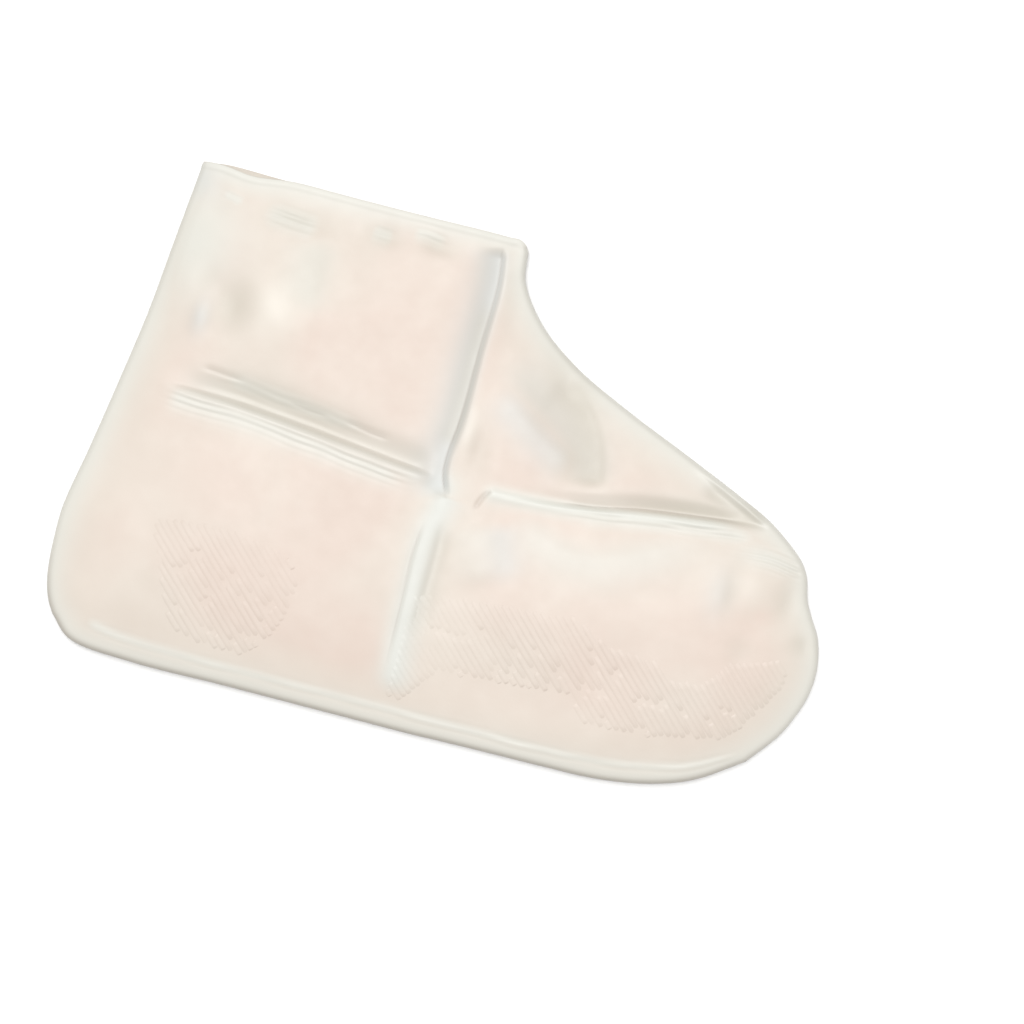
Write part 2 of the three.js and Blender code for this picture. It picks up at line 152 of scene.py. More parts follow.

# Folds. Line: points as shares along and up. Rise: share of foldDepth. Widths on the left and right of the
# line: shares of foldWidth. Fade: shares of the line at its start and end. Fold, cool and olive: how strongly
# the latex is tinted along it, greenish grey partly its own tone and partly painted light, painted bluish
# shade and sheen, and painted shade; core: how strongly painted shade darkens the crease itself.
folds = {
    "levelValley": {"line": ((0.087, 0.557), (0.168, 0.554), (0.250, 0.544), (0.333, 0.531), (0.409, 0.519),
                             (0.458, 0.512)),
                    "rise": -0.62, "left": 0.62, "right": 0.16, "fade": (0.18, 0.12), "fold": 0.5,
                    "paintedOliveShade": 0.12, "paintedDarkShade": 0.15},
    "levelShade": {"line": ((0.125, 0.572), (0.198, 0.565), (0.267, 0.554), (0.337, 0.542), (0.430, 0.524)),
                   "rise": -0.22, "left": 0.7, "right": 0.3, "fade": (0.3, 0.4), "paintedOliveShade": 0.38},
    "levelCrest": {"line": ((0.080, 0.545), (0.170, 0.543), (0.252, 0.533), (0.335, 0.521), (0.411, 0.508),
                            (0.460, 0.501)),
                   "rise": 0.20, "left": 0.12, "right": 0.35, "fade": (0.12, 0.12), "fold": 0.6},
    "dashOne": {"line": ((0.130, 0.601), (0.156, 0.597), (0.192, 0.594)),
                "rise": -0.10, "left": 0.12, "right": 0.08, "fade": (0.3, 0.2), "paintedDarkShade": 0.25},
    "dashTwo": {"line": ((0.248, 0.578), (0.276, 0.571), (0.309, 0.567)),
                "rise": -0.08, "left": 0.12, "right": 0.08, "fade": (0.3, 0.2), "paintedDarkShade": 0.2},
    "dashThree": {"line": ((0.326, 0.570), (0.356, 0.559), (0.392, 0.553)),
                  "rise": -0.10, "left": 0.14, "right": 0.08, "fade": (0.3, 0.2), "paintedDarkShade": 0.22},
    "uprightValley": {"line": ((0.481, 0.464), (0.468, 0.511), (0.466, 0.552), (0.471, 0.627), (0.472, 0.771),
                               (0.474, 0.905), (0.468, 0.979)),
                      "rise": -0.44, "left": 0.65, "right": 0.13, "fade": (0.12, 0.06), "fold": 0.2,
                      "paintedCoolShadeAndSheen": 0.8, "paintedDarkShade": 0.5},
    "uprightShade": {"line": ((0.462, 0.560), (0.466, 0.627), (0.467, 0.771), (0.468, 0.880)),
                     "rise": 0.0, "left": 0.18, "right": 0.18, "fade": (0.2, 0.2), "paintedOliveShade": 0.45},
    "uprightCrest": {"line": ((0.477, 0.548), (0.482, 0.624), (0.483, 0.772), (0.486, 0.896), (0.484, 0.956)),
                     "rise": 0.10, "left": 0.20, "right": 0.5, "fade": (0.15, 0.15)},
    "lowerRidge": {"line": ((0.474, 0.059), (0.468, 0.145), (0.466, 0.212), (0.466, 0.277), (0.466, 0.370),
                            (0.474, 0.441), (0.478, 0.480)),
                   "rise": 0.11, "left": 0.34, "right": 0.42, "fade": (0.10, 0.05), "fold": 0.9,
                   "paintedCoolShadeAndSheen": 0.25},
    "lowerLine": {"line": ((0.458, 0.100), (0.457, 0.212), (0.456, 0.273), (0.455, 0.355), (0.460, 0.420)),
                  "rise": -0.10, "left": 0.14, "right": 0.10, "fade": (0.25, 0.2), "paintedDarkShade": 0.3},
    "lowerShade": {"line": ((0.488, 0.120), (0.486, 0.230), (0.486, 0.304), (0.487, 0.377), (0.484, 0.443)),
                   "rise": -0.16, "left": 0.22, "right": 0.28, "fade": (0.3, 0.25), "paintedOliveShade": 0.30},
    "stepValley": {"line": ((0.524, 0.501), (0.571, 0.508), (0.623, 0.518), (0.675, 0.530), (0.726, 0.547),
                            (0.804, 0.562), (0.855, 0.572), (0.893, 0.577)),
                   "rise": -0.55, "left": 0.38, "right": 0.10, "fade": (0.6, 0.04), "fold": 0.4},
    "stepShade": {"line": ((0.675, 0.535), (0.726, 0.553), (0.804, 0.570), (0.855, 0.578), (0.893, 0.580)),
                  "rise": -0.05, "left": 0.38, "right": 0.15, "fade": (0.45, 0.15), "paintedOliveShade": 0.5,
                  "inset": 2 * mm},
    "stepLine": {"line": ((0.623, 0.518), (0.650, 0.524), (0.675, 0.530), (0.726, 0.547), (0.804, 0.562),
                          (0.880, 0.573)),
                 "rise": -0.08, "left": 0.12, "right": 0.08, "fade": (0.2, 0.15), "paintedDarkShade": 0.4},
    "stepLip": {"line": ((0.516, 0.501), (0.571, 0.505), (0.625, 0.510), (0.677, 0.520), (0.728, 0.531),
                         (0.806, 0.548), (0.887, 0.560)),
                "rise": 0.16, "left": 0.16, "right": 0.24, "fade": (0.07, 0.15), "fold": 0.9},
    "stepSecond": {"line": ((0.731, 0.518), (0.808, 0.534), (0.887, 0.545)),
                   "rise": -0.06, "left": 0.12, "right": 0.10, "fade": (0.3, 0.3), "paintedDarkShade": 0.12},
    "instepValley": {"line": ((0.580, 0.769), (0.608, 0.740), (0.640, 0.674), (0.655, 0.619), (0.663, 0.552)),
                     "rise": -0.26, "left": 0.30, "right": 1.0, "fade": (0.25, 0.12), "paintedOliveShade": 0.70},
    "instepShade": {"line": ((0.506, 0.775), (0.547, 0.729), (0.596, 0.677), (0.640, 0.623), (0.654, 0.560)),
                    "rise": -0.05, "left": 0.60, "right": 0.45, "fade": (0.3, 0.15), "paintedOliveShade": 0.42,
                    "paintedCoolShadeAndSheen": 0.4},
    "instepCrest": {"line": ((0.500, 0.705), (0.546, 0.657), (0.594, 0.611), (0.633, 0.586)),
                    "rise": 0.14, "left": 0.4, "right": 0.5, "fade": (0.25, 0.25), "paintedCoolShadeAndSheen": 0.55},
    "brow": {"line": ((0.557, 0.477), (0.595, 0.447), (0.632, 0.425), (0.680, 0.420), (0.742, 0.453),
                      (0.801, 0.501), (0.861, 0.541)),
             "rise": 0.20, "left": 0.42, "right": 0.7, "fade": (0.25, 0.35), "fold": 0.5},
    "midRidge": {"line": ((0.555, 0.310), (0.538, 0.380), (0.524, 0.450)),
                 "rise": 0.20, "left": 0.7, "right": 0.75, "fade": (0.35, 0.3), "fold": 0.35},
    "midShade": {"line": ((0.592, 0.327), (0.571, 0.391), (0.554, 0.456)),
                 "rise": -0.06, "left": 0.42, "right": 0.40, "fade": (0.4, 0.25), "paintedCoolShadeAndSheen": 0.50},
    "nick": {"line": ((0.517, 0.457), (0.525, 0.489), (0.534, 0.509)),
             "rise": -0.14, "left": 0.10, "right": 0.07, "fade": (0.3, 0.2), "paintedDarkShade": 0.35},
    "shaftFurrow": {"line": ((0.238, 0.740), (0.240, 0.800), (0.241, 0.860), (0.238, 0.915)),
                    "rise": -0.14, "left": 0.7, "right": 0.45, "fade": (0.3, 0.3), "fold": 0.5,
                    "paintedOliveShade": 0.32},
    "instepRim": {"line": ((0.775, 0.656), (0.818, 0.629), (0.856, 0.602), (0.890, 0.576)),
                  "rise": 0.20, "left": 0.09, "right": 0.12, "fade": (0.3, 0.15), "inset": 1.2 * mm},
    "instepGroove": {"line": ((0.795, 0.625), (0.830, 0.603), (0.868, 0.580)),
                     "rise": -0.22, "left": 0.18, "right": 0.3, "fade": (0.3, 0.2), "inset": 3 * mm,
                     "paintedOliveShade": 0.4},
}

# Puffed and dented places: along, up, reach along, reach up, rise as a share of swellHeight, and its tints:
# painted shade in the dents, painted highlight and sheen on the bumps, greenish grey partly painted light,
# and the latex's own pink
swells = [
    (0.680, 0.330, 0.150, 0.110, 0.80, {}),
    (0.235, 0.280, 0.150, 0.170, 0.45, {}),
    (0.270, 0.770, 0.150, 0.150, 0.45, {}),
    (0.540, 0.660, 0.050, 0.110, 0.40, {}),
    (0.149, 0.729, 0.026, 0.055, -0.70, {"paintedOliveShade": 0.55}),
    (0.114, 0.772, 0.020, 0.035, -0.20, {"paintedOliveShade": 0.25}),
    (0.114, 0.695, 0.012, 0.035, 0.30, {"paintedCoolShadeAndSheen": 0.60}),
    (0.075, 0.957, 0.022, 0.035, 0.05, {"paintedCoolShadeAndSheen": 0.45}),
    (0.203, 0.750, 0.030, 0.045, 0.35, {"milkAndPaintedLight": 1.0}),
    (0.205, 0.927, 0.045, 0.026, -0.30, {"paintedOliveShade": 0.45}),
    (0.321, 0.940, 0.024, 0.022, -0.35, {"paintedOliveShade": 0.45}),
    (0.389, 0.947, 0.026, 0.020, -0.40, {"paintedOliveShade": 0.45}),
    (0.851, 0.426, 0.018, 0.050, 0.16, {"paintedCoolShadeAndSheen": 0.35}),
    (0.867, 0.437, 0.012, 0.045, -0.14, {"paintedOliveShade": 0.22}),
    (0.893, 0.447, 0.020, 0.035, 0.15, {"milkAndPaintedLight": 0.4}),
    (0.910, 0.397, 0.024, 0.030, -0.10, {"blush": 1.0}),
    (0.939, 0.435, 0.014, 0.045, -0.16, {"paintedOliveShade": 0.22}),
    (0.975, 0.367, 0.016, 0.022, -0.20, {"paintedOliveShade": 0.35}),
    (0.895, 0.325, 0.020, 0.030, -0.12, {"paintedOliveShade": 0.25}),
    (0.678, 0.515, 0.030, 0.018, -0.15, {"fold": 0.8, "paintedOliveShade": 0.15}),
    (0.507, 0.575, 0.014, 0.045, -0.30, {"paintedOliveShade": 0.2}),
    (0.486, 0.613, 0.012, 0.050, 0.18, {"milkAndPaintedLight": 0.8}),
    (0.470, 0.490, 0.022, 0.030, 0.10, {"fold": 0.9}),
    (0.080, 0.840, 0.060, 0.120, 0.10, {"fold": 0.8, "paintedOliveShade": 0.12}),
    (0.211, 0.400, 0.110, 0.110, 0.0, {"blush": 1.0}),
    (0.353, 0.294, 0.080, 0.180, 0.0, {"blush": 0.5}),
    (0.209, 0.431, 0.110, 0.080, 0.0, {"blush": 1.0}),
    (0.749, 0.410, 0.080, 0.060, 0.0, {"blush": 1.0}),
    (0.583, 0.721, 0.034, 0.075, -0.10, {"paintedOliveShade": 0.5}),
    (0.350, 0.784, 0.070, 0.120, 0.0, {"blush": 0.7}),
    (0.737, 0.324, 0.100, 0.110, 0.0, {"blush": 0.8}),
]

# Bands of fine creases: line, half width, pitch and rise in metres, fade, and how far in they start
ripples = [
    {"line": ((0.092, 0.530), (0.187, 0.522), (0.262, 0.512), (0.339, 0.498), (0.440, 0.481)),
     "half": 3.6 * mm, "pitch": 2.35 * mm, "rise": 0.15 * mm, "fade": (0.06, 0.12), "inset": 8 * mm},
    {"line": ((0.150, 0.590), (0.250, 0.575), (0.400, 0.548)), "half": 3.0 * mm, "pitch": 2.9 * mm,
     "rise": 0.07 * mm, "fade": (0.2, 0.3), "inset": 8 * mm},
    {"line": ((0.620, 0.498), (0.731, 0.520), (0.808, 0.536), (0.890, 0.550)), "half": 2.4 * mm,
     "pitch": 2.3 * mm, "rise": 0.11 * mm, "fade": (0.15, 0.15), "inset": 3 * mm},
    {"line": ((0.840, 0.510), (0.899, 0.516), (0.952, 0.508)), "half": 3.6 * mm, "pitch": 2.2 * mm,
     "rise": 0.20 * mm, "fade": (0.5, 0.1), "inset": 4 * mm},
    {"line": ((0.153, 0.929), (0.194, 0.925), (0.236, 0.917)), "half": 3.6 * mm, "pitch": 2.9 * mm,
     "rise": 0.20 * mm, "fade": (0.3, 0.2), "inset": 2 * mm},
    {"line": ((0.298, 0.944), (0.331, 0.941)), "half": 2.6 * mm, "pitch": 2.6 * mm, "rise": 0.16 * mm,
     "fade": (0.3, 0.3), "inset": 2 * mm},
    {"line": ((0.346, 0.963), (0.373, 0.965), (0.403, 0.955)), "half": 2.6 * mm, "pitch": 2.6 * mm,
     "rise": 0.14 * mm, "fade": (0.3, 0.3), "inset": 2 * mm},
    {"line": ((0.097, 0.946), (0.116, 0.945), (0.133, 0.939)), "half": 2.0 * mm, "pitch": 2.4 * mm,
     "rise": 0.12 * mm, "fade": (0.3, 0.3), "inset": 2 * mm},
    {"line": ((0.064, 0.058), (0.115, 0.043), (0.223, 0.037), (0.357, 0.037), (0.491, 0.038), (0.625, 0.038),
              (0.758, 0.043), (0.861, 0.074), (0.932, 0.128)), "half": 1.7 * mm, "pitch": 3.2 * mm,
     "rise": 0.16 * mm, "fade": (0.05, 0.05), "inset": 3.5 * mm},
]


def smooth(value):
    held = np.clip(value, 0, 1)
    return held * held * (3 - 2 * held)


def bell(value):
    return np.exp(-value * value)


# Points on a curve that runs evenly through given points, at stations from 0 to 1
def throughPoints(points, stations):
    points = np.array(points, float) * (coverLength, coverHeight)
    ends = np.vstack([2 * points[0] - points[1], points, 2 * points[-1] - points[-2]])
    spot = np.clip(stations, 0, 1) * (len(points) - 1)
    span = np.minimum(spot.astype(int), len(points) - 2)
    share = (spot - span)[:, None]
    before, start, end, after = (ends[span + step] for step in range(4))
    pairs = ((before, start), (start, end), (end, after))
    gaps = [np.sqrt(np.linalg.norm(far - near, axis=1))[:, None] for near, far in pairs]
    leave = (start - before) / gaps[0] - (end - before) / (gaps[0] + gaps[1]) + (end - start) / gaps[1]
    arrive = (end - start) / gaps[1] - (after - start) / (gaps[1] + gaps[2]) + (after - end) / gaps[2]
    leave, arrive = leave * gaps[1], arrive * gaps[1]
    cube = (2 * start - 2 * end + leave + arrive) * share ** 3
    square = (-3 * start + 3 * end - 2 * leave - arrive) * share ** 2
    return start + leave * share + square + cube


# Along of a heel or toe outline at any height
def outlineAt(rows, heights):
    points = np.array(rows, float)[:, ::-1] * (coverLength, coverHeight)
    x, y = points[:, 0], points[:, 1]
    upper = np.clip(np.searchsorted(y, heights), 1, len(y) - 1)
    below, beyond = np.maximum(upper - 2, 0), np.minimum(upper + 1, len(y) - 1)
    low = upper - 1
    rise = y[upper] - y[low]
    share = (heights - y[low]) / rise
    lowSlope = (x[upper] - x[below]) / (y[upper] - y[below])
    highSlope = (x[beyond] - x[low]) / (y[beyond] - y[low])
    cubic = share * share * (3 - 2 * share)
    enter = share * (1 - share) ** 2 * lowSlope * rise
    leave = share ** 2 * (share - 1) * highSlope * rise
    return x[low] + (x[upper] - x[low]) * cubic + enter + leave


# Places spaced as a grade of (share, spacing) asks, over a given real length for one share
def graded(grade, reach):
    shares, spacings = zip(*grade)
    fine = np.linspace(shares[0], shares[-1], 4000)
    counts = np.concatenate([[0], np.cumsum(np.diff(fine) * reach / np.interp(fine[1:], shares, spacings))])
    total = math.ceil(counts[-1])
    return np.interp(np.linspace(0, counts[-1], total + 1), counts, fine)


# Distance to a line of points, the share of the way along it, and the side
def nearest(line, x, y):
    start, run = line[:-1], np.diff(line, axis=0)
    results = []
    for spots in np.array_split(np.column_stack([x.ravel(), y.ravel()]), max(1, x.size // 1500)):
        offX = spots[:, :1] - start[:, 0]
        offY = spots[:, 1:] - start[:, 1]
        share = np.clip((offX * run[:, 0] + offY * run[:, 1]) / (run ** 2).sum(axis=1), 0, 1)
        gap = np.hypot(offX - share * run[:, 0], offY - share * run[:, 1])
        best = gap.argmin(axis=1)
        rows = np.arange(len(spots))
        side = np.sign(run[best, 0] * offY[rows, best] - run[best, 1] * offX[rows, best])
        results.append(np.column_stack([gap[rows, best], (best + share[rows, best]) / len(run), side]))
    joined = np.vstack(results)
    return [joined[:, column].reshape(x.shape) for column in range(3)]


def wander(x, y, size, seed):
    spots = zip((x / size).ravel(), (y / size).ravel())
    values = [noise.noise(Vector((across, upward, seed))) for across, upward in spots]
    return np.array(values).reshape(x.shape)


# The columns and rows of the skin on the flat outline
def flatPlan(rowStep):
    spans = len(sections) - 1
    known = np.linspace(0, 1, 400)
    midAlong = throughPoints([row[1] for row in sections], known)[:, 0] / coverLength
    stations = np.interp(graded(columnGrade, coverLength), midAlong, known)
    stations[0], stations[-1] = 0, 1
    mouthColumn = int(np.abs(stations - cover["mouthSection"] / spans).argmin())
    stations[mouthColumn] = cover["mouthSection"] / spans
    levels = graded([(level, spacing * rowStep) for level, spacing in rowGrade], rowReach)
    sole, mid, top = (throughPoints([row[edge] for row in sections], stations)[:, None, :]
                      for edge in range(3))
    lower = np.clip(levels, 0, 1)[None, :, None]
    upper = np.clip(levels - 1, 0, 1)[None, :, None]
    plan = sole + (mid - sole) * lower + (top - mid) * upper
    bend = cover["bendSection"] / spans
    heelPull = np.maximum(0, 1 - stations / bend)[:, None] ** 2
    toePull = np.maximum(0, (stations - bend) / (1 - bend))[:, None] ** 2
    heelShift = outlineAt(heelOutline, plan[0, :, 1]) - plan[0, :, 0]
    toeShift = outlineAt(toeOutline, plan[-1, :, 1]) - plan[-1, :, 0]
    plan[:, :, 0] += heelPull * heelShift + toePull * toeShift
    return plan, mouthColumn


plan, mouthColumn = flatPlan(1)
closedEdge = np.vstack([plan[0, ::-1], plan[1:, 0], plan[-1, 1:], plan[mouthColumn:-1, -1][::-1]])
lineSamples = np.linspace(0, 1, 25)
foldLines = {name: throughPoints(fold["line"], lineSamples) for name, fold in folds.items()}
rippleLines = [throughPoints(ripple["line"], lineSamples) for ripple in ripples]
print("plan made", plan.shape)

# What each point of the skin carries for its colour: greenish grey, partly painted light; painted bluish
# shade and sheen; painted shade; painted dark shade in creases and along the outline; paler cream painted as
# highlight and light; and the latex's own pink
paints = ("fold", "paintedCoolShadeAndSheen", "paintedOliveShade", "paintedDarkShade", "milkAndPaintedLight", "blush")


# Rounding at the closed edge: 0 at the outline and 1 from half the edge's thickness inwards
def edgeRound(inset):
    turn = np.maximum(0, 1 - inset / (cover["edgeThickness"] / 2))
    return (1 - np.minimum(1, turn) ** cover["edgeSquareness"]) ** (1 / cover["edgeSquareness"])


# A painted shade along the outline, strongest at the sole
def edgeShade(inset, y):
    least = cover["soleShadeLeast"]
    low = least + (1 - least) * smooth(1 - y / cover["soleShadeReach"])
    return cover["soleShade"] * bell(inset / cover["soleShadeWidth"]) * low


# Height of the upper side over the floor, how far in each point lies, and its paints
def upperSide(x, y, fine=True):
    inset = nearest(closedEdge, x, y)[0]
    half = cover["edgeThickness"] / 2
    rounded = half + half * edgeRound(inset)
    sink = cover["mouthSink"] * bell((coverHeight - y) / cover["mouthSinkReach"])
    crownHeight = cover["panelThickness"] - cover["edgeThickness"] - sink
    crown = crownHeight * (1 - np.exp(-inset / cover["crownReach"]))
    relief = np.zeros_like(x)
    paint = {name: np.zeros_like(x) for name in paints}
    settled = smooth(inset / cover["reliefInset"])
    for name, fold in folds.items():
        if not fine and (fold["rise"] > 0 or "inset" in fold):
            continue
        gap, share, side = nearest(foldLines[name], x, y)
        width = cover["foldWidth"] * np.where(side > 0, fold["left"], fold["right"])
        if not fine:
            width = np.maximum(width, cover["innerFoldWidth"])
        ends = smooth(share / fold["fade"][0]) * smooth((1 - share) / fold["fade"][1])
        start = smooth(inset / fold["inset"]) if "inset" in fold else settled
        relief += fold["rise"] * cover["foldDepth"] * bell(gap / width) * ends * start
        soft = bell(gap / (cover["softWidth"] * width + cover["softExtra"])) * ends
        crease = bell(gap / cover["creaseWidth"]) * ends * start
        # Tints along each fold: the greenish grey, partly painted light, the painted bluish shade and sheen,
        # the painted brownish shade and the painted dark shade in the crease
        for paintName, strength in (("fold", soft), ("paintedCoolShadeAndSheen", soft), ("paintedOliveShade", soft), ("paintedDarkShade", crease)):
            paint[paintName] = np.maximum(paint[paintName], fold.get(paintName, 0) * strength)
    for along, up, reachAlong, reachUp, rise, tints in swells:
        reach = np.hypot((x / coverLength - along) / reachAlong, (y / coverHeight - up) / reachUp)
        relief += rise * cover["swellHeight"] * bell(reach) * smooth(inset / cover["swellInset"])
        for paintName, amount in tints.items():
            paint[paintName] = np.maximum(paint[paintName], amount * bell(reach))
    drift = wander(x, y, cover["rippleDrift"], 3.7)
    for ripple, line in zip(ripples, rippleLines) if fine else ():
        gap, share, side = nearest(line, x, y)
        ends = smooth(share / ripple["fade"][0]) * smooth((1 - share) / ripple["fade"][1])
        wave = np.cos(2 * math.pi * (gap * side / ripple["pitch"] + cover["rippleSway"] * drift))
        strength = ripple["rise"] * (0.75 + 0.7 * drift) * smooth(inset / ripple["inset"])
        relief += strength * wave * bell(gap / ripple["half"]) * ends
        # The greenish grey along the band of fine creases, partly painted light
        tint = cover["rippleTint"] * bell(gap / (cover["rippleTintWidth"] * ripple["half"])) * ends
        paint["fold"] = np.maximum(paint["fold"], tint)
    for size, rise, seed in cover["unevenness"]:
        relief += rise * wander(x, y, size, seed) * settled
    # Greenish grey along the outline and the mouth, partly the latex's own tone and partly painted light that
    # lifts the shaded edges and rim
    nearEdge = np.maximum(bell(inset / cover["edgeTint"]), bell((coverHeight - y) / cover["edgeTint"]))
    paint["fold"] = np.clip(np.maximum(paint["fold"], cover["edgeTintStrength"] * nearEdge), 0, 1)
    # Painted shade along the outline
    paint["paintedDarkShade"] = np.maximum(paint["paintedDarkShade"], edgeShade(inset, y))
    level, swing = cover["cloudLevel"]
    cloudy = level + swing * wander(x, y, cover["cloudSize"], 5.2)
    deep = smooth((inset - cover["blushInset"]) / cover["blushReach"])
    rosy = np.maximum(paint["blush"], cover["blushStrength"] * deep * cloudy)
    paint["blush"] = np.clip(rosy, 0, 1) * (1 - cover["blushLoss"] * paint["fold"])
    return rounded + crown + relief, inset, paint


# One skin without thickness: an upper and a lower side as grids, merged at the closed edge, open at the mouth
def makeSkin(rowStep, fine):
    places, mouth = flatPlan(rowStep)
    columns, rows = places.shape[:2]
    x, y = places[:, :, 0], places[:, :, 1]
    height, inset, paint = upperSide(x, y, fine)
    half = cover["edgeThickness"] / 2
    onEdge = np.zeros((columns, rows), bool)
    onEdge[0, :] = onEdge[-1, :] = onEdge[:, 0] = True
    onEdge[mouth:, -1] = True
    under = half - half * edgeRound(inset)
    height[onEdge] = under[onEdge] = half
    drop = cover["lipDrop"] * bell((x / coverLength - cover["lipDropAlong"]) / cover["lipDropWidth"])
    drop *= smooth(inset / cover["edgeThickness"]) * smooth(1 - (coverHeight - y) / cover["lipDropReach"])
    drop[onEdge] = 0
    shift = Vector((shellLow.x, shellLow.y, 0))
    # The unseen sides carry greenish grey underneath and paler cream inside the hollow as painted light, and
    # the painted shade along the outline
    plain = {name: np.zeros_like(x) for name in paints}
    plain["fold" if fine else "milkAndPaintedLight"] += cover["plainTint"]
    plain["paintedDarkShade"] = edgeShade(inset, y)

    bm = bmesh.new()
    layers = {name: bm.verts.layers.float.new(name) for name in paints}
    for upward, sideY, sideZ in ((True, y - drop, height), (False, y, under)):
        made = bmesh.ops.create_grid(bm, x_segments=columns - 1, y_segments=rows - 1, size=1)["verts"]
        for vert in made:
            column = round((vert.co.x + 1) / 2 * (columns - 1))
            row = round((vert.co.y + 1) / 2 * (rows - 1))
            vert.co = Vector((x[column, row], sideY[column, row], sideZ[column, row])) + shift
            for name, layer in layers.items():
                vert[layer] = (paint if upward and fine else plain)[name][column, row]
        if not upward:
            bmesh.ops.reverse_faces(bm, faces=list({face for vert in made for face in vert.link_faces}))
    bmesh.ops.remove_doubles(bm, verts=bm.verts, dist=cover["mergeGap"])
    flat = [face for face in bm.faces if max(vert.co.z for vert in face.verts) < cover["mergeGap"] / 10]
    bmesh.ops.dissolve_faces(bm, faces=flat, use_verts=False)
    bmesh.ops.recalc_face_normals(bm, faces=bm.faces)
    bm.normal_update()
    return bm


# Moves a skin along its normals: the outer one grows a bead round the mouth, the inner one steps in
# by the wall
def offsetSkin(bm, inward):
    rimSpots = list({vert for edge in bm.edges if edge.is_boundary for vert in edge.verts})
    rimTree = kdtree.KDTree(len(rimSpots))
    for number, vert in enumerate(rimSpots):
        rimTree.insert(vert.co.copy(), number)
    rimTree.balance()
    outward = {vert: vert.normal.copy() for vert in bm.verts}
    nearTop = shellHigh.y - 3 * cover["beadWidth"]
    for vert, out in outward.items():
        bead = 0.0
        if vert.co.y > nearTop:
            fromRim = rimTree.find(vert.co)[2]
            bead = cover["beadThickness"] * max(0, 1 - (2 * fromRim / cover["beadWidth"] - 1) ** 2) ** 1.5
        above = bead if out.z > 0 else 0
        vert.co += out * (above - bead - cover["wall"] if inward else above)


def finishPiece(name, bm):
    for face in bm.faces:
        face.smooth = True
    mesh = bpy.data.meshes.new(name)
    bm.to_mesh(mesh)
    bm.free()
    piece = bpy.data.objects.new(name, mesh)
    bpy.context.collection.objects.link(piece)
    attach(piece, "root")
    return piece


def makeCover():
    bm = makeSkin(1, True)
    offsetSkin(bm, False)
    inner = makeSkin(cover["innerRowStep"], False)
    offsetSkin(inner, True)
    bmesh.ops.reverse_faces(inner, faces=inner.faces)
    lining = bpy.data.meshes.new("lining")
    inner.to_mesh(lining)
    inner.free()
    bm.from_mesh(lining)
    bpy.data.meshes.remove(lining)
    bmesh.ops.bridge_loops(bm, edges=[edge for edge in bm.edges if edge.is_boundary])
    bmesh.ops.recalc_face_normals(bm, faces=bm.faces)
    return finishPiece("cover_skin", bm)


coverSkin = makeCover()
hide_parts("cover_shell")
print("cover made", len(coverSkin.data.polygons))

# The moulded grip: fine slanted ribs with blunt ends, in a patch under the heel and one under the forefoot.
# Sunk is how far a rib reaches below the skin, as a share of its rise. A family is an angle in degrees,
# a share of the rise and a share of the ribs kept. Edges of the patches as along and up in millimetres.
grip = {
    "pitch": 2.15 * mm,
    "halfWidth": 1.5 * mm,
    "rise": 0.12 * mm,
    "sunk": 1.4,
    "footShade": 0.26,
    "lengths": (12 * mm, 36 * mm),
    "gap": 0.2 * mm,
    "softEdge": 6 * mm,
    "step": 0.5 * mm,
    "patchiness": 26 * mm,
    "families": ((-45, 1.0, 1.0),),
    "middleUp": 33 * mm,
    "beyond": 30 * mm,
    "patchLimit": 0.35,
    "shortest": 2 * mm,
    "riseSpread": (0.75, 1.1),
    "wear": (0.75, 1.1),
    "strengthRange": (0.25, 1.1),
    "faintest": 0.45,
    "strengthGain": 0.7,
    "softStart": 0.25,
    "endWeight": 1.5,
    "endBluntness": 0.88,
    "ridgeTop": 0.2,
    "ridgeSide": 0.1,
}
gripPatches = {
    "heel_grip": {"lower": ((34, 50), (44, 25), (50, 15), (62, 12), (78, 12), (86, 22), (91, 36)),
                  "upper": ((34, 55), (60, 58), (78, 55), (86, 51), (91, 42)), "seed": 5},
    "forefoot_grip": {"lower": ((130, 12), (136, 10), (143, 18), (148, 24), (172, 26), (196, 28), (201, 19),
                                (224, 20), (254, 26), (263, 38), (270, 50)),
                      "upper": ((130, 50), (137, 53), (162, 56), (190, 58), (202, 51), (221, 50), (228, 45),
                                (240, 46), (247, 56), (265, 61), (270, 57)), "seed": 11},
}


# How far inside a patch each point lies, from 0 outside to 1 well inside
def patchShare(patch, x, y):
    low = np.interp(x, *np.array(patch["lower"]).T * mm)
    high = np.interp(x, *np.array(patch["upper"]).T * mm)
    first, last = patch["lower"][0][0] * mm, patch["lower"][-1][0] * mm
    endRoom = np.minimum(x - first, last - x) * grip["endWeight"]
    room = np.minimum(np.minimum(y - low, high - y), endRoom)
    return smooth(room / grip["softEdge"] + grip["softStart"])


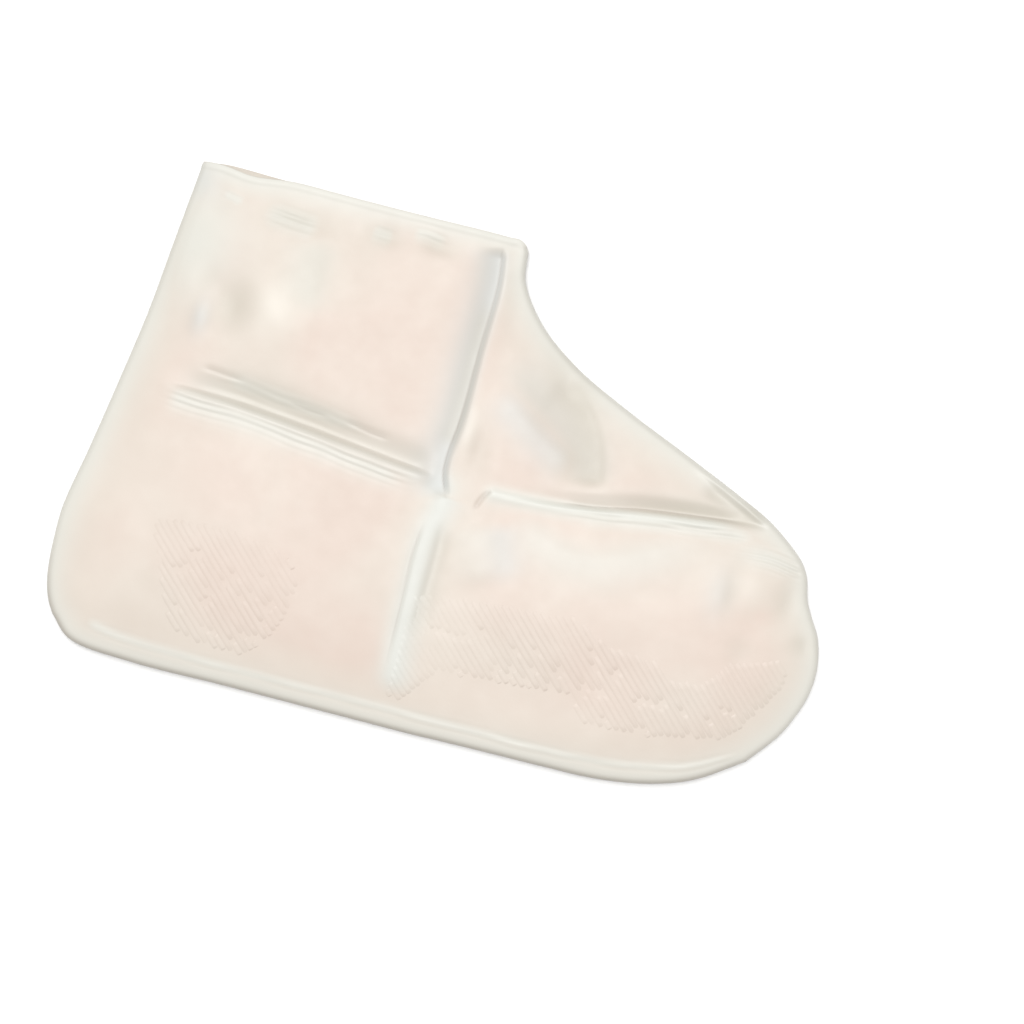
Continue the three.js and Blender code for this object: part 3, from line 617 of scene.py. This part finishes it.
def makeGrip(name, patch):
    draw = random.Random(patch["seed"])
    first, last = patch["lower"][0][0] * mm, patch["lower"][-1][0] * mm
    middle = Vector(((first + last) / 2, grip["middleUp"]))
    reach = (last - first) / 2 + grip["beyond"]
    bars = []
    lanes = int(reach / grip["pitch"])
    spots = np.arange(-reach, reach, grip["step"])
    for angle, rise, density in grip["families"]:
        run = Vector((math.cos(math.radians(angle)), math.sin(math.radians(angle))))
        across = Vector((-run.y, run.x))
        for lane in range(-lanes, lanes + 1):
            shares = patchShare(patch, *(middle[axis] + across[axis] * lane * grip["pitch"]
                                         + run[axis] * spots for axis in range(2)))
            start, length = None, draw.uniform(*grip["lengths"])
            for spot, share in zip(spots, shares):
                inside = share > grip["patchLimit"]
                if inside and start is None:
                    start = spot
                if start is not None and (not inside or spot - start > length):
                    barLength = spot - start - grip["gap"]
                    centre = middle + across * (lane * grip["pitch"]) + run * ((spot + start) / 2)
                    if barLength > grip["shortest"] and draw.random() < density:
                        barRise = rise * draw.uniform(*grip["riseSpread"])
                        bars.append((centre, run, across, barLength, barRise))
                    start, length = None, draw.uniform(*grip["lengths"])
    x, y = (np.array([bar[0][axis] for bar in bars]) for axis in range(2))
    usual, swing = grip["wear"]
    worn = usual + swing * wander(x, y, grip["patchiness"], 1.9)
    share = patchShare(patch, x, y) * np.clip(worn, *grip["strengthRange"])
    bm = bmesh.new()
    bm.verts.layers.float.new("paintedDarkShade")
    scratch = bpy.data.meshes.new("bar")
    for (centre, run, across, length, rise), strength in zip(bars, share):
        bar = bmesh.new()
        bmesh.ops.create_uvsphere(bar, u_segments=6, v_segments=7, radius=1)
        high = grip["rise"] * rise * min(1, grip["faintest"] + grip["strengthGain"] * strength)
        shade = bar.verts.layers.float.new("paintedDarkShade")
        for edge in bar.edges:
            edge.smooth = any(vert.co.y > grip["ridgeTop"] and abs(vert.co.x) < grip["ridgeSide"]
                              for vert in edge.verts)
        for vert in bar.verts:
            blunt = max(0.01, math.hypot(vert.co.x, vert.co.y)) ** -grip["endBluntness"]
            wide, tall = vert.co.x * blunt, vert.co.y * blunt
            # Painted shade along the foot of each rib, where it meets the skin
            vert[shade] = grip["footShade"] * strength * (1 - max(0, tall))
            flat = centre + run * (vert.co.z * length / 2) + across * (wide * grip["halfWidth"])
            vert.co = Vector((flat.x, flat.y, high * (tall * (1 + grip["sunk"]) - grip["sunk"])))
        bar.to_mesh(scratch)
        bar.free()
        bm.from_mesh(scratch)
    bpy.data.meshes.remove(scratch)
    others = [paintName for paintName in paints if paintName != "paintedDarkShade"]
    layers = {paintName: bm.verts.layers.float.new(paintName) for paintName in others}
    verts = list(bm.verts)
    x, y = (np.array([vert.co[axis] for vert in verts]) for axis in range(2))
    height, inset, paint = upperSide(x, y)
    for number, vert in enumerate(verts):
        vert.co += Vector((shellLow.x, shellLow.y, height[number]))
        for paintName, layer in layers.items():
            vert[layer] = paint[paintName][number]
    bmesh.ops.recalc_face_normals(bm, faces=bm.faces)
    return finishPiece(name, bm)


grips = [makeGrip(name, patch) for name, patch in gripPatches.items()]
print("grip made", [len(piece.data.polygons) for piece in grips])


# Wraps a socket, so that sums of values read as plain maths and every other node comes from one method
class Shade:
    def __init__(self, tree, socket=None):
        self.tree, self.socket = tree, socket

    def node(self, kind, settings=None, inputs=None, output=0):
        node = self.tree.nodes.new(kind)
        for name, setting in (settings or {}).items():
            setattr(node, name, setting)
        for name, value in (inputs or {}).items():
            if isinstance(value, Shade):
                self.tree.links.new(value.socket, node.inputs[name])
            else:
                node.inputs[name].default_value = value
        return Shade(self.tree, node.outputs[output])

    def maths(self, operation, first, second):
        return self.node("ShaderNodeMath", {"operation": operation}, {0: first, 1: second})

    def __add__(self, other):
        return self.maths("ADD", self, other)

    def __sub__(self, other):
        return self.maths("SUBTRACT", self, other)

    def __rsub__(self, other):
        return self.maths("SUBTRACT", other, self)

    def __mul__(self, other):
        return self.maths("MULTIPLY", self, other)

    __radd__ = __add__
    __rmul__ = __mul__


latexFinish = {
    "cream": (0.652, 0.574, 0.496, 1),
    "blush": (0.658, 0.544, 0.468, 1),
    # Greenish grey, partly the latex's own tone along folds and edges and partly painted light
    "fold": (0.682, 0.686, 0.628, 1),
    # Painted bluish shade and sheen on folds and bumps
    "paintedCoolShadeAndSheen": (0.585, 0.602, 0.585, 1),
    # Painted shade in dents, valleys and on the flanks turned from the light
    "paintedOliveShade": (0.520, 0.485, 0.405, 1),
    # Painted dark shade in creases, along the outline and at the feet of the ribs
    "paintedDarkShade": (0.280, 0.235, 0.190, 1),
    # Paler cream, for random mottling and as painted highlight on bumps and ridges and painted light inside
    # the hollow
    "milkAndPaintedLight": (0.745, 0.690, 0.610, 1),
    "roughness": (0.36, 0.48),
    "coat": 0.20,
    "coatRoughness": 0.30,
    "mottleScale": 34,
    "grainScale": 900,
    "skinScale": 160,
    "milkyShare": 0.9,
    "milkyFrom": 0.40,
    "coreShare": 0.8,
    "roughnessSpread": 1.6,
    "bump": 0.10,
    "bumpDistance": 0.3 * mm,
    "grainShare": 0.4,
}


def latexMaterial():
    material = bpy.data.materials.new("milky_latex")
    material.use_nodes = True
    tree = material.node_tree
    shader = tree.nodes["Principled BSDF"]
    nodes = Shade(tree)

    def mixed(share, first, second):
        return nodes.node("ShaderNodeMix", {"data_type": "RGBA"}, {0: share, 6: first, 7: second}, output=2)

    def painted(name):
        return nodes.node("ShaderNodeAttribute", {"attribute_name": name}, output=2)

    def noiseAt(scale, detail):
        return nodes.node("ShaderNodeTexNoise", {}, {"Vector": place, "Scale": scale, "Detail": detail})

    place = nodes.node("ShaderNodeTexCoord", output=3)
    mottle = noiseAt(latexFinish["mottleScale"], 4.0)
    grain = noiseAt(latexFinish["grainScale"], 2.0)
    skin = noiseAt(latexFinish["skinScale"], 3.0)
    body = mixed(painted("blush"), latexFinish["cream"], latexFinish["blush"])
    milky = latexFinish["milkyShare"] * (mottle - latexFinish["milkyFrom"])
    body = mixed(milky, body, latexFinish["milkAndPaintedLight"])
    # Over the latex's own tones come the greenish grey, the painted highlight, the painted bluish shade and
    # sheen, the painted shade and the painted dark shade
    body = mixed(painted("fold"), body, latexFinish["fold"])
    body = mixed(painted("milkAndPaintedLight"), body, latexFinish["milkAndPaintedLight"])
    body = mixed(painted("paintedCoolShadeAndSheen"), body, latexFinish["paintedCoolShadeAndSheen"])
    body = mixed(painted("paintedOliveShade"), body, latexFinish["paintedOliveShade"])
    body = mixed(latexFinish["coreShare"] * painted("paintedDarkShade"), body, latexFinish["paintedDarkShade"])
    glossy, dull = latexFinish["roughness"]
    roughness = glossy + (dull - glossy) * skin * latexFinish["roughnessSpread"]
    bump = nodes.node("ShaderNodeBump", {}, {"Strength": latexFinish["bump"],
                                             "Distance": latexFinish["bumpDistance"],
                                             "Height": skin + latexFinish["grainShare"] * grain})
    for name, value in (("Base Color", body), ("Roughness", roughness), ("Normal", bump)):
        tree.links.new(value.socket, shader.inputs[name])
    shader.inputs["Coat Weight"].default_value = latexFinish["coat"]
    shader.inputs["Coat Roughness"].default_value = latexFinish["coatRoughness"]
    return material


latex = latexMaterial()
for piece in [coverSkin] + grips:
    piece.data.materials.append(latex)
print("latex made")

# Floor, light and camera. Lights as azimuth in the picture, elevation, width in degrees and strength.
stage = {
    "photoSize": 1024,
    "photoScale": 0.3636 * mm,
    "photoTurn": math.radians(14.6),
    "photoCentre": (158.5 * mm, 87.5 * mm),
    "cameraHeight": 1.25,
    "sensor": 36.0,
    "floorSize": 6.0,
    "floorColour": (0.97, 0.97, 0.97, 1),
    "floorRoughness": 0.9,
    "floorSpecular": 0.1,
    "skyColour": (1, 1, 1, 1),
    "floorGap": 0.15 * mm,
    "sky": 0.42,
    "lights": {"overhead": (90, 84, 40, 2.14), "key": (118, 42, 34, 0.50)},
}


def makeFloor():
    bm = bmesh.new()
    bmesh.ops.create_grid(bm, x_segments=1, y_segments=1, size=stage["floorSize"] / 2)
    bmesh.ops.translate(bm, verts=bm.verts, vec=(0, 0, -stage["floorGap"]))
    mesh = bpy.data.meshes.new("floor")
    bm.to_mesh(mesh)
    bm.free()
    floor = bpy.data.objects.new("floor", mesh)
    bpy.context.collection.objects.link(floor)
    paper = bpy.data.materials.new("white_paper")
    paper.use_nodes = True
    shader = paper.node_tree.nodes["Principled BSDF"]
    shader.inputs["Base Color"].default_value = stage["floorColour"]
    shader.inputs["Roughness"].default_value = stage["floorRoughness"]
    shader.inputs["Specular IOR Level"].default_value = stage["floorSpecular"]
    mesh.materials.append(paper)


def softLight(name, azimuth, elevation, spread, strength):
    lamp = bpy.data.lights.new(name, "SUN")
    lamp.angle = math.radians(spread)
    lamp.energy = strength
    light = bpy.data.objects.new(name, lamp)
    turn, lift = math.radians(azimuth) + stage["photoTurn"], math.radians(elevation)
    toward = Vector((math.cos(turn) * math.cos(lift), math.sin(turn) * math.cos(lift), math.sin(lift)))
    light.location = toward
    light.rotation_mode = "QUATERNION"
    light.rotation_quaternion = toward.to_track_quat("Z", "Y")
    bpy.context.collection.objects.link(light)


def makeCamera():
    data = bpy.data.cameras.new("camera")
    camera = bpy.data.objects.new("camera", data)
    across = stage["photoSize"] * stage["photoScale"]
    data.sensor_width = stage["sensor"]
    data.lens = stage["sensor"] * stage["cameraHeight"] / across
    centreX, centreY = stage["photoCentre"]
    camera.location = (shellLow.x + centreX, shellLow.y + centreY, stage["cameraHeight"])
    camera.rotation_euler = (0, 0, stage["photoTurn"])
    bpy.context.collection.objects.link(camera)
    bpy.context.scene.camera = camera


makeFloor()
makeCamera()
for name, light in stage["lights"].items():
    softLight(name, *light)
world = bpy.data.worlds.new("studio")
world.use_nodes = True
background = world.node_tree.nodes["Background"]
background.inputs["Color"].default_value = stage["skyColour"]
background.inputs["Strength"].default_value = stage["sky"]
bpy.context.scene.world = world
bpy.context.scene.view_settings.view_transform = "Standard"
print("studio made")
